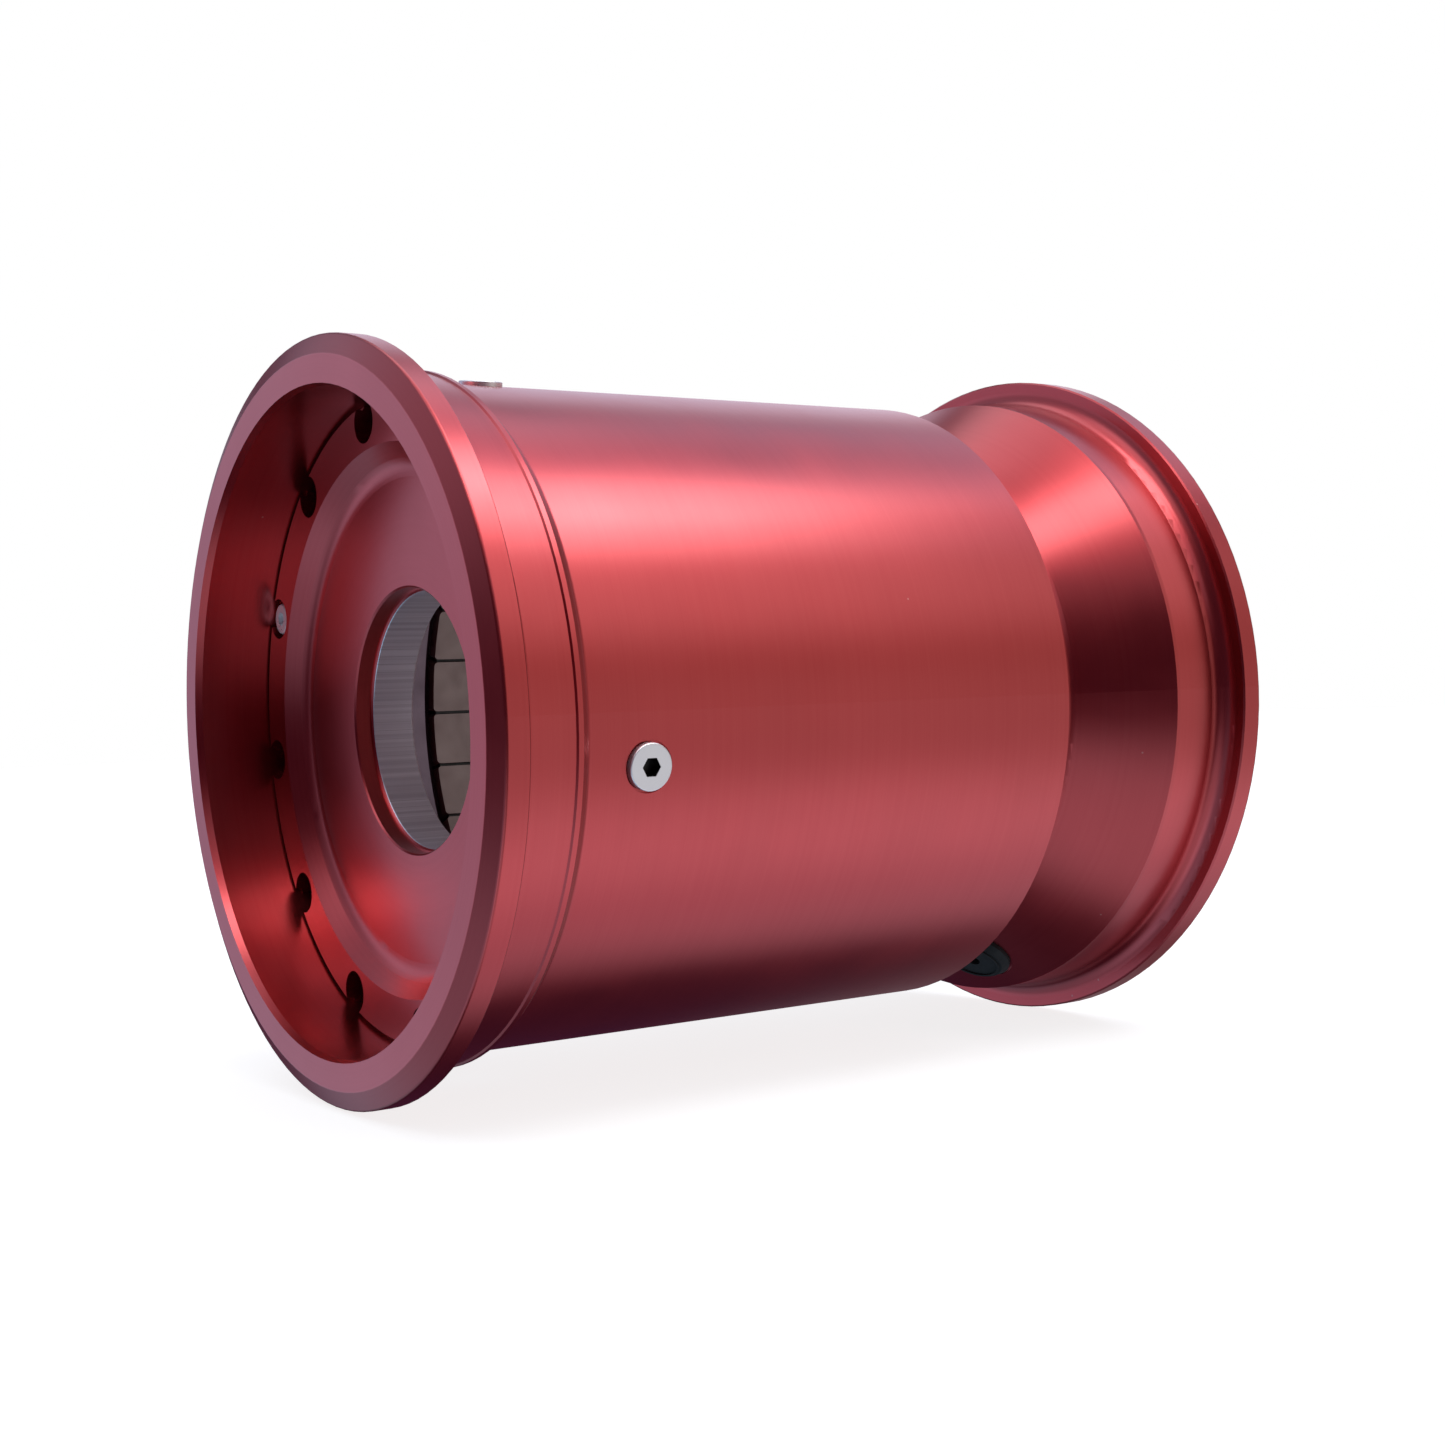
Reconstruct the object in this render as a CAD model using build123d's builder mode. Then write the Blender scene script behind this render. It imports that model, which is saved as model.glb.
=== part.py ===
"""Rotor of a wide in-wheel motor: a turned rim with its magnets, covers, bearing and tyre valve.

The frame: Y is the spin axis and +Z is up. The origin is on the axis, half way across the width.
The open, bolted face looks towards -Y. Places along the axis are given as a depth behind the
front face, and at() turns a depth into the Y coordinate. Lengths are in millimetres.
"""
from math import cos, degrees, radians, sin
import os

from build123d import *

os.makedirs("parts", exist_ok=True)

# ---- driving dimensions -------------------------------------------------------------------
WIDTH = 167.6
FLANGE_R = 68.0
SHOULDER_R = 64.4  # where the flat end face turns into the flange's sloping shoulder
SHOULDER_DROP = 1.5
SHOULDER_FILLET = 0.6
FLANGE_T = 5.8
EDGE_BREAK = 0.3

BEAD_HEEL_R = 62.9  # the bead seat narrows from the flange to the hump
BEAD_TOE_R = 62.3
BEAD_FILLET = 3.2
HUMP_R = 62.6
HUMP_FRONT = 17.2  # start of the front hump's land
HUMP_LAND = 0.9
HUMP_STEP = 0.3
HUMP_CREST_R = 61.7  # edge where the front hump's rear slope steepens
HUMP_CREST = 19.2
HUMP_FOOT = 19.8
FOOT_FILLET = 1.4
BARREL_R = 60.5
BARREL_END = 123.5

GROOVE_R = 50.4
GROOVE_START = 126.5
GROOVE_END = 133.5
GROOVE_FILLET = 3.0
CONE_END = 149.5
WALL = 3.6  # thickness of the cone wall, square to its surface

MOUTH_R = 59.4
MOUTH_FLARE = 1.4  # depth over which the mouth narrows to the bore
BORE_R = 59.0

WEB_FRONT = 119.5
WEB_REAR = 127.5
WEB_BORE_R = 38.05
POCKET_R = 47.0

SLIP = 0.02  # gap left between faces that bear on each other
THREAD_CORE = 2.0  # M4 drawn as a plain hole of its nominal radius
THREAD_SHANK = THREAD_CORE - SLIP

# front cover
COVER_FACE = 15.35
COVER_R = 58.9
SEAM_W = 0.5  # rebate round the front cover's rim
SEAM_DEPTH = 1.4
RIM_BREAK = 0.15
RING_INNER_R = 50.1  # inner edge of the raised ring
DISC_EDGE_R = 43.7
DISC_DEPTH = 19.0
RING_SLOPE = 2.2  # radial room between the disc's edge and the ring's slope
RING_FILLET = 5.0
COVER_FILLET = 2.0
SEAT_CHAMFER = 0.4
BORE_CHAMFER = 0.3
COVER_BACK = 36.0
SPIGOT_R = 52.8
SPIGOT_END = 41.0
SKIRT_R = 48.0
FRONT_BORE_R = 24.2
SEAT_R = 23.5  # bearing with a 47 mm outside diameter
SEAT_START = 22.3
SEAT_END = 31.1
BOSS_R = 30.0
DISC_BACK = 26.0

# cover screws, M4
SCREW_COUNT = 12
SCREW_STEP = 360 / SCREW_COUNT
SCREW_CIRCLE_R = 55.4
SCREW_PHASE = 7.0  # angle of one screw, from +X towards +Z
BRIGHT_PHASE = SCREW_PHASE + 5 * SCREW_STEP
DARK_PHASE = BRIGHT_PHASE + SCREW_STEP  # the other screws follow the bright one
DARK_ARC = 360 - SCREW_STEP
COUNTERBORE_R = 4.0
DEEP_SEAT = 9.0
SHALLOW_SEAT = 2.7
CLEARANCE_R = 2.2
SOCKET_HEAD_R = 3.5
SOCKET_HEAD_H = 4.0
BRIGHT_HEAD_R = 3.1
BUTTON_HEAD_R = 3.7
BUTTON_HEAD_H = 2.2
HEX_M4 = 3.0  # across flats
BUTTON_HEX = 2.5
HEX_DEPTH = 2.2
BUTTON_HEX_DEPTH = 1.3
SOCKET_HEAD_ROUND = 0.4
BRIGHT_HEAD_ROUND = 0.5
BUTTON_HEAD_ROUND = 1.4
SHANK_CHAMFER = 0.4
SCREW_LENGTH = 20.0
LONG_SCREW_LENGTH = 25.0
FLANGE_HOLE = 9.0  # depth of the tapped holes in the back iron

# radial lock screws, M4 with a flat head
LOCK_COUNT = 4
LOCK_PHASE = -8.4
LOCK_DEPTH = 31.5
LOCK_HEAD_R = 3.95
LOCK_HEAD_T = 1.3
LOCK_SEAT_R = 59.7  # distance of the counterbore's floor from the axis
LOCK_COUNTERBORE_R = 4.35
LOCK_SEAL_T = 0.3
LOCK_SEAL_INSET = 0.2
LOCK_LENGTH = 9.0
LOCK_HEX = 3.0
LOCK_HEX_DEPTH = 2.0
LOCK_HEAD_ROUND = 0.25
LOCK_THROUGH = 6.0  # more than the shell's wall
LOCK_TAPPED = 9.2

# magnets and back iron
MAGNET_COUNT = 30
MAGNET_PHASE = 4.4  # angle of the middle of one magnet
MAGNET_R = 53.0
MAGNET_OUT_R = 56.78
MAGNET_START = 50.3
MAGNET_LENGTH = 64.0
MAGNET_GAP = 0.65  # between neighbours, at the inner face
MAGNET_CORNER = 0.8
STRIP_SETBACK = 0.7
IRON_POCKET_R = 56.8
IRON_FLANGE_R = 52.9
IRON_FLANGE_END = 49.3
IRON_CHAMFER = 1.2
END_RING_R = 53.3
END_RING_CHAMFER = 0.4

# rear cover and its bearing (30 x 47 x 9)
REAR_SPIGOT_R = 38.0
REAR_FLANGE_R = 46.8
REAR_FACE = 134.5
REAR_SPIGOT_FRONT = 119.8
REAR_LIP_R = 21.5
REAR_SCREW_COUNT = 8
REAR_SCREW_CIRCLE_R = 42.2
REAR_SCREW_PHASE = 22.5
REAR_SCREW_LENGTH = 10.0
REAR_SCREW_GRIP = 3.5  # cover thickness under a rear screw's head
REAR_RECESS_IN_R = 28.5
REAR_RECESS_OUT_R = 36.5
REAR_RECESS_DEPTH = 1.6
REAR_RECESS_DRAFT = 1.0
REAR_RECESS_FILLET = 0.8
REAR_CHAMFER = 0.5
WEB_SKIN = 1.0  # left under the tapped holes of the rear web
BEARING_FRONT = 122.0
BEARING_WIDTH = 9.0
BEARING_BORE_R = 15.0
BEARING_PITCH_R = 19.25
BALL_R = 2.38
BALL_COUNT = 15
GROOVE_CLEARANCE = 0.05
OUTER_RACE_IN_R = 21.4
INNER_RACE_OUT_R = 17.1
SEAL_LIP_GAP = 0.12
BEARING_SEAL_IN = 0.25
BEARING_SEAL_T = 0.8
RACE_FILLET = 0.4
CAGE_HALF_T = 0.7
CAGE_HALF_W = 3.0
CLIP_T = 1.75
CLIP_GROOVE_R = 24.75
CLIP_GROOVE_W = 1.85
CLIP_IN_R = 21.8
CLIP_OFFSET = 0.6
CLIP_EAR_CIRCLE_R = 20.9
CLIP_EAR_R = 2.3
CLIP_EAR_ANGLE = 9.5
CLIP_EAR_START = 180 - CLIP_EAR_ANGLE
CLIP_GAP_LENGTH = 14.0
CLIP_HOLE_R = 1.1
CLIP_GAP = 2.6

# O-ring grooves on both spigots
SEAL_GROOVE_W = 2.4
SEAL_GROOVE_DEPTH = 1.4
SEAL_SECTION_R = 0.68

# tyre valve
VALVE_PHASE = -75.5
VALVE_DEPTH = 139.8
VALVE_HOLE_R = 5.0
VALVE_BASE_R = 7.4
SPOTFACE_R = 7.9
SPOTFACE_DEPTH = 0.5
INNER_SPOTFACE_R = 6.8
VALVE_BASE_TOP = -1.5
VALVE_BASE_CHAMFER = 1.2
VALVE_BULGE_T = 1.6
VALVE_BULGE_END = 5.0
VALVE_RING_RADII = (3.4, 5.4)
VALVE_RING_W = 0.5
VALVE_RING_H = 0.35
VALVE_BULGE_R = 6.2
VALVE_SLEEVE_R = 5.2
VALVE_SLEEVE_END_R = 4.3
VALVE_SLEEVE_END = 19.5
AIR_HOLE_R = 1.5
STEM_START = 2.5
STEM_HOLE_R = 1.5
STEM_R = 2.9
STEM_SHOULDER = 20.0
STEM_END = 31.5
CAP_THREAD_R = 3.85
CORE_THREAD_R = 2.6
CORE_BORE_R = 2.3
CORE_BORE_START = 18.9
CORE_SEAT = 24.0

# valve core
CORE_START = 21.5
CORE_END = 30.6
CORE_NECK_R = 1.75
CORE_HOLE_R = 0.9
SPRING_FLOOR = 25.5
SPRING_ROOM_R = 1.9
SPRING_R = 1.4
SPRING_WIRE_R = 0.17
SPRING_TURNS = 4
PIN_R = 0.6
PIN_START = 20.4
PIN_END = 31.2
PIN_CUP_R = 1.7
PIN_CUP_T = 0.5
PIN_COLLAR = 29.0
PIN_COLLAR_R = 1.6
PIN_COLLAR_T = 0.4
PIN_TRAVEL = 1.2

# valve cap
CAP_START = 22.0
CAP_END = 33.4
CAP_ROOF = 32.0
CAP_R = 4.9
CAP_FLUTES = 18
CAP_FLUTE_R = 0.45
CAP_FLUTE_STOP = 2.0
CAP_CHAMFER = 1.0


def at(depth):
    """Y coordinate of a depth behind the front face."""
    return depth - WIDTH / 2


def front_plane(depth):
    """Plane square to the axis, seen from the front: local x is +X and local y is +Z."""
    return Plane(origin=(0, at(depth), 0), x_dir=(1, 0, 0), z_dir=(0, -1, 0))


def rear_plane(depth):
    """Plane square to the axis whose normal points out of the rear face."""
    return Plane(origin=(0, at(depth), 0), x_dir=(1, 0, 0), z_dir=(0, 1, 0))


def radial_plane(depth, angle, radius):
    """Plane that touches a cylinder of that radius, with its normal pointing away from the axis."""
    turn = radians(angle)
    outward = (cos(turn), 0, sin(turn))
    origin = (radius * cos(turn), at(depth), radius * sin(turn))
    return Plane(origin=origin, x_dir=(0, 1, 0), z_dir=outward)


def save(piece, name):
    """Label a finished piece and write it."""
    piece.label = name
    export_step(piece, f"parts/{name}.step")


def around(count, phase):
    """Angles of a ring of equally spaced places."""
    return [phase + step * 360 / count for step in range(count)]


# ---- hub shell: rim, motor barrel and rear web turned from one billet -------------------------
cone_slope = (HUMP_R - GROOVE_R) / (CONE_END - GROOVE_END)
cone_cos = 1 / (1 + cone_slope**2) ** 0.5
cone_sin = cone_slope * cone_cos
inner_cone_drop = WALL / cone_cos


def inner_cone_depth(radius):
    """Depth at which the cone's inner surface has that radius."""
    return GROOVE_END + (radius + inner_cone_drop - GROOVE_R) / cone_slope


with BuildPart() as hub_shell:
    with BuildSketch(Plane.XY):
        with BuildLine():
            Line((BORE_R, at(MOUTH_FLARE)), (MOUTH_R, at(0)))
            FilletPolyline(
                (MOUTH_R, at(0)),
                (SHOULDER_R, at(0)),
                (FLANGE_R, at(SHOULDER_DROP)),
                (FLANGE_R, at(FLANGE_T - EDGE_BREAK)),
                radius=SHOULDER_FILLET,
            )
            Line((FLANGE_R, at(FLANGE_T - EDGE_BREAK)), (FLANGE_R - EDGE_BREAK, at(FLANGE_T)))
            FilletPolyline(
                (FLANGE_R - EDGE_BREAK, at(FLANGE_T)),
                (BEAD_HEEL_R, at(FLANGE_T)),
                (BEAD_TOE_R, at(HUMP_FRONT - HUMP_STEP)),
                radius=BEAD_FILLET,
            )
            Polyline(
                (BEAD_TOE_R, at(HUMP_FRONT - HUMP_STEP)),
                (HUMP_R, at(HUMP_FRONT)),
                (HUMP_R, at(HUMP_FRONT + HUMP_LAND)),
                (HUMP_CREST_R, at(HUMP_CREST)),
            )
            FilletPolyline(
                (HUMP_CREST_R, at(HUMP_CREST)),
                (BARREL_R, at(HUMP_FOOT)),
                (BARREL_R, at(BARREL_END - EDGE_BREAK)),
                radius=FOOT_FILLET,
            )
            Line((BARREL_R, at(BARREL_END - EDGE_BREAK)), (BARREL_R - EDGE_BREAK, at(BARREL_END)))
            FilletPolyline(
                (BARREL_R - EDGE_BREAK, at(BARREL_END)),
                (GROOVE_R, at(GROOVE_START)),
                (GROOVE_R, at(GROOVE_END)),
                (HUMP_R, at(CONE_END)),
                radius=GROOVE_FILLET,
            )
            Polyline(
                (HUMP_R, at(CONE_END)),
                (HUMP_R, at(CONE_END + HUMP_LAND)),
                (BEAD_TOE_R, at(CONE_END + HUMP_LAND + HUMP_STEP)),
            )
            FilletPolyline(
                (BEAD_TOE_R, at(CONE_END + HUMP_LAND + HUMP_STEP)),
                (BEAD_HEEL_R, at(WIDTH - FLANGE_T)),
                (FLANGE_R - EDGE_BREAK, at(WIDTH - FLANGE_T)),
                radius=BEAD_FILLET,
            )
            Line(
                (FLANGE_R - EDGE_BREAK, at(WIDTH - FLANGE_T)),
                (FLANGE_R, at(WIDTH - FLANGE_T + EDGE_BREAK)),
            )
            FilletPolyline(
                (FLANGE_R, at(WIDTH - FLANGE_T + EDGE_BREAK)),
                (FLANGE_R, at(WIDTH - SHOULDER_DROP)),
                (SHOULDER_R, at(WIDTH)),
                (MOUTH_R, at(WIDTH)),
                radius=SHOULDER_FILLET,
            )
            Polyline(
                (MOUTH_R, at(WIDTH)),
                (BORE_R, at(WIDTH - MOUTH_FLARE)),
                (BORE_R, at(inner_cone_depth(BORE_R))),
                (POCKET_R, at(inner_cone_depth(POCKET_R))),
                (POCKET_R, at(WEB_REAR)),
                (WEB_BORE_R, at(WEB_REAR)),
                (WEB_BORE_R, at(WEB_FRONT)),
                (BORE_R, at(WEB_FRONT)),
                (BORE_R, at(MOUTH_FLARE)),
            )
        make_face()
    revolve(axis=Axis.Y)
    for angle in around(LOCK_COUNT, LOCK_PHASE):
        with Locations(radial_plane(LOCK_DEPTH, angle, BARREL_R)):
            CounterBoreHole(CLEARANCE_R, LOCK_COUNTERBORE_R, BARREL_R - LOCK_SEAT_R, depth=LOCK_THROUGH)
    with Locations(rear_plane(WEB_REAR)):
        with PolarLocations(REAR_SCREW_CIRCLE_R, REAR_SCREW_COUNT, REAR_SCREW_PHASE):
            Hole(THREAD_CORE, depth=WEB_REAR - WEB_FRONT - WEB_SKIN)

# The valve's axis is square to the cone and runs inwards and rearwards through the wall.
valve_turn = radians(VALVE_PHASE)
valve_r = GROOVE_R + (VALVE_DEPTH - GROOVE_END) * cone_slope
valve_origin = Vector(valve_r * cos(valve_turn), at(VALVE_DEPTH), valve_r * sin(valve_turn))
valve_dir = Vector(-cone_cos * cos(valve_turn), cone_sin, -cone_cos * sin(valve_turn))
valve_side = Vector(-sin(valve_turn), 0, cos(valve_turn))
# In the profile plane local x is the distance from the valve's axis and local y runs along it.
valve_profile = Plane(origin=valve_origin, x_dir=valve_side, z_dir=valve_side.cross(valve_dir))
valve_axis = Axis(valve_origin, valve_dir)


def valve_plane(along):
    """Plane square to the valve's axis, that far in from the cone's outer surface."""
    return Plane(origin=valve_origin + valve_dir * along, x_dir=valve_side, z_dir=valve_dir)


with hub_shell:
    with BuildSketch(valve_plane(0)):
        Circle(VALVE_HOLE_R)
    extrude(amount=WALL + 2, mode=Mode.SUBTRACT)
    with BuildSketch(valve_plane(SPOTFACE_DEPTH)):
        Circle(SPOTFACE_R)
    extrude(amount=-6, mode=Mode.SUBTRACT)
    with BuildSketch(valve_plane(WALL)):
        Circle(INNER_SPOTFACE_R)
    extrude(amount=3, mode=Mode.SUBTRACT)
save(hub_shell.part, "hub_shell")

# ---- front cover ----------------------------------------------------------------------------
with BuildPart() as front_cover:
    with BuildSketch(Plane.XY):
        with BuildLine():
            Polyline(
                (RING_INNER_R, at(COVER_FACE)),
                (COVER_R - SEAM_W - RIM_BREAK, at(COVER_FACE)),
                (COVER_R - SEAM_W, at(COVER_FACE + RIM_BREAK)),
                (COVER_R - SEAM_W, at(COVER_FACE + SEAM_DEPTH)),
                (COVER_R, at(COVER_FACE + SEAM_DEPTH)),
                (COVER_R, at(COVER_BACK)),
                (SPIGOT_R, at(COVER_BACK)),
                (SPIGOT_R, at(SPIGOT_END)),
                (SKIRT_R, at(SPIGOT_END)),
            )
            FilletPolyline(
                (SKIRT_R, at(SPIGOT_END)),
                (SKIRT_R, at(DISC_BACK)),
                (BOSS_R, at(DISC_BACK)),
                (BOSS_R, at(SEAT_END)),
                radius=COVER_FILLET,
            )
            Polyline(
                (BOSS_R, at(SEAT_END)),
                (SEAT_R + SEAT_CHAMFER, at(SEAT_END)),
                (SEAT_R, at(SEAT_END - SEAT_CHAMFER)),
                (SEAT_R, at(SEAT_START + SEAT_CHAMFER)),
                (SEAT_R + SEAT_CHAMFER, at(SEAT_START)),
                (FRONT_BORE_R, at(SEAT_START)),
                (FRONT_BORE_R, at(DISC_DEPTH + BORE_CHAMFER)),
                (FRONT_BORE_R + BORE_CHAMFER, at(DISC_DEPTH)),
            )
            FilletPolyline(
                (FRONT_BORE_R + BORE_CHAMFER, at(DISC_DEPTH)),
                (DISC_EDGE_R + RING_SLOPE, at(DISC_DEPTH)),
                (RING_INNER_R, at(COVER_FACE)),
                radius=RING_FILLET,
            )
        make_face()
    revolve(axis=Axis.Y)
    with BuildSketch(Plane.XY):
        with Locations((SPIGOT_R, at((COVER_BACK + SPIGOT_END) / 2))):
            Rectangle(2 * SEAL_GROOVE_DEPTH, SEAL_GROOVE_W)
    revolve(axis=Axis.Y, mode=Mode.SUBTRACT)
    with Locations(front_plane(COVER_FACE)):
        with PolarLocations(SCREW_CIRCLE_R, SCREW_COUNT - 1, DARK_PHASE, DARK_ARC):
            CounterBoreHole(CLEARANCE_R, COUNTERBORE_R, DEEP_SEAT, depth=COVER_BACK)
        with PolarLocations(SCREW_CIRCLE_R, 1, BRIGHT_PHASE):
            CounterBoreHole(CLEARANCE_R, COUNTERBORE_R, SHALLOW_SEAT, depth=COVER_BACK)
    for angle in around(LOCK_COUNT, LOCK_PHASE):
        with Locations(radial_plane(LOCK_DEPTH, angle, COVER_R + 1)):
            Hole(THREAD_CORE, depth=LOCK_TAPPED)
save(front_cover.part, "front_cover")

# ---- back iron: steel ring with a tapped flange for the cover screws ---------------------------
with BuildPart() as flux_ring:
    with BuildSketch(Plane.XY):
        with BuildLine():
            Polyline(
                (IRON_FLANGE_R, at(COVER_BACK + SLIP)),
                (BORE_R - SLIP, at(COVER_BACK + SLIP)),
                (BORE_R - SLIP, at(WEB_FRONT - SLIP)),
                (IRON_POCKET_R, at(WEB_FRONT - SLIP)),
                (IRON_POCKET_R, at(IRON_FLANGE_END)),
                (IRON_FLANGE_R + IRON_CHAMFER, at(IRON_FLANGE_END)),
                (IRON_FLANGE_R, at(IRON_FLANGE_END - IRON_CHAMFER)),
                close=True,
            )
        make_face()
    revolve(axis=Axis.Y)
    with Locations(front_plane(COVER_BACK + SLIP)):
        with PolarLocations(SCREW_CIRCLE_R, SCREW_COUNT, SCREW_PHASE):
            Hole(THREAD_CORE, depth=FLANGE_HOLE)
save(flux_ring.part, "flux_ring")


def ring_sector(inner_r, outer_r, span):
    """Sector of a ring, centred on local x, with straight radial sides."""
    with BuildSketch() as sector:
        with BuildLine():
            inner = CenterArc((0, 0), inner_r, -span / 2, span)
            outer = CenterArc((0, 0), outer_r, -span / 2, span)
            Line(inner @ 0, outer @ 0)
            Line(inner @ 1, outer @ 1)
        make_face()
    return sector.sketch


# ---- rotor magnets: arc segments bonded in the back iron ---------------------------------------
magnet_pitch = 360 / MAGNET_COUNT
gap_angle = degrees(MAGNET_GAP / MAGNET_R)
with BuildPart() as rotor_magnets:
    with BuildSketch(front_plane(MAGNET_START)):
        with PolarLocations(0, MAGNET_COUNT, MAGNET_PHASE):
            add(ring_sector(MAGNET_R, MAGNET_OUT_R, magnet_pitch - gap_angle))
    extrude(amount=-MAGNET_LENGTH)
    straight = rotor_magnets.edges().filter_by(GeomType.LINE)
    fillet(straight.filter_by(lambda edge: edge.length < MAGNET_LENGTH / 2), radius=MAGNET_CORNER)
save(rotor_magnets.part, "rotor_magnets")

# Potting strips fill the joints between the magnets, set back from their faces.
strip_span = gap_angle - degrees(2 * SLIP / MAGNET_R)
with BuildPart() as magnet_bond_strips:
    with BuildSketch(front_plane(MAGNET_START + MAGNET_CORNER)):
        with PolarLocations(0, MAGNET_COUNT, MAGNET_PHASE + magnet_pitch / 2):
            add(ring_sector(MAGNET_R + STRIP_SETBACK, MAGNET_OUT_R, strip_span))
    extrude(amount=2 * MAGNET_CORNER - MAGNET_LENGTH)
save(magnet_bond_strips.part, "magnet_bond_strips")

# Plastic ring that holds the magnets off the rear web.
end_ring_start = MAGNET_START + MAGNET_LENGTH + SLIP
with BuildPart() as magnet_end_ring:
    with BuildSketch(front_plane(end_ring_start)):
        Circle(MAGNET_OUT_R)
        Circle(END_RING_R, mode=Mode.SUBTRACT)
    extrude(amount=end_ring_start + SLIP - WEB_FRONT)
    chamfer(magnet_end_ring.edges().filter_by(GeomType.CIRCLE), END_RING_CHAMFER)
save(magnet_end_ring.part, "magnet_end_ring")


# ---- screws -----------------------------------------------------------------------------------
def make_screw(head_r, head_h, length, across_flats, socket_depth, rounding):
    """Screw along Z: the head's top is at the origin and the shank points down."""
    with BuildPart() as screw:
        with BuildSketch(Plane.XY):
            Circle(head_r)
        extrude(amount=-head_h)
        fillet(screw.edges().group_by(Axis.Z)[-1], radius=rounding)
        with BuildSketch(Plane.XY.offset(-head_h)):
            Circle(THREAD_SHANK)
        extrude(amount=-length)
        chamfer(screw.edges().group_by(Axis.Z)[0], SHANK_CHAMFER)
        with BuildSketch(Plane.XY):
            RegularPolygon(across_flats / 2, 6, major_radius=False)
        extrude(amount=-socket_depth, mode=Mode.SUBTRACT)
    return screw.part


socket_screw = make_screw(SOCKET_HEAD_R, SOCKET_HEAD_H, SCREW_LENGTH, HEX_M4, HEX_DEPTH, SOCKET_HEAD_ROUND)
with BuildPart() as cover_screws:
    with Locations(front_plane(COVER_FACE + DEEP_SEAT - SLIP - SOCKET_HEAD_H)):
        with PolarLocations(SCREW_CIRCLE_R, SCREW_COUNT - 1, DARK_PHASE, DARK_ARC):
            add(socket_screw)
save(cover_screws.part, "cover_screws")

bright_screw = make_screw(
    BRIGHT_HEAD_R, BUTTON_HEAD_H, LONG_SCREW_LENGTH, BUTTON_HEX, BUTTON_HEX_DEPTH, BRIGHT_HEAD_ROUND
)
with BuildPart() as cover_screw_bright:
    with Locations(front_plane(COVER_FACE + SHALLOW_SEAT - SLIP - BUTTON_HEAD_H)):
        with PolarLocations(SCREW_CIRCLE_R, 1, BRIGHT_PHASE):
            add(bright_screw)
save(cover_screw_bright.part, "cover_screw_bright")

short_screw = make_screw(
    BUTTON_HEAD_R, BUTTON_HEAD_H, REAR_SCREW_LENGTH, BUTTON_HEX, BUTTON_HEX_DEPTH, BUTTON_HEAD_ROUND
)
rear_screw_seat = WEB_REAR + REAR_SCREW_GRIP
with BuildPart() as rear_cover_screws:
    with Locations(rear_plane(rear_screw_seat + SLIP + BUTTON_HEAD_H)):
        with PolarLocations(REAR_SCREW_CIRCLE_R, REAR_SCREW_COUNT, REAR_SCREW_PHASE):
            add(short_screw)
save(rear_cover_screws.part, "rear_cover_screws")

flat_screw = make_screw(
    LOCK_HEAD_R, LOCK_HEAD_T, LOCK_LENGTH, LOCK_HEX, LOCK_HEX_DEPTH, LOCK_HEAD_ROUND
)
lock_head_top = LOCK_SEAT_R + LOCK_SEAL_T + LOCK_HEAD_T
with BuildPart() as lock_screws:
    for angle in around(LOCK_COUNT, LOCK_PHASE):
        with Locations(radial_plane(LOCK_DEPTH, angle, lock_head_top)):
            add(flat_screw)
save(lock_screws.part, "lock_screws")

# A washer seals each lock screw, because its hole opens into the tyre's air space.
with BuildPart() as lock_screw_seals:
    for angle in around(LOCK_COUNT, LOCK_PHASE):
        with BuildSketch(radial_plane(LOCK_DEPTH, angle, LOCK_SEAT_R + SLIP)):
            Circle(LOCK_HEAD_R - LOCK_SEAL_INSET)
            Circle(CLEARANCE_R, mode=Mode.SUBTRACT)
        extrude(amount=LOCK_SEAL_T - 2 * SLIP)
save(lock_screw_seals.part, "lock_screw_seals")

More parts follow.
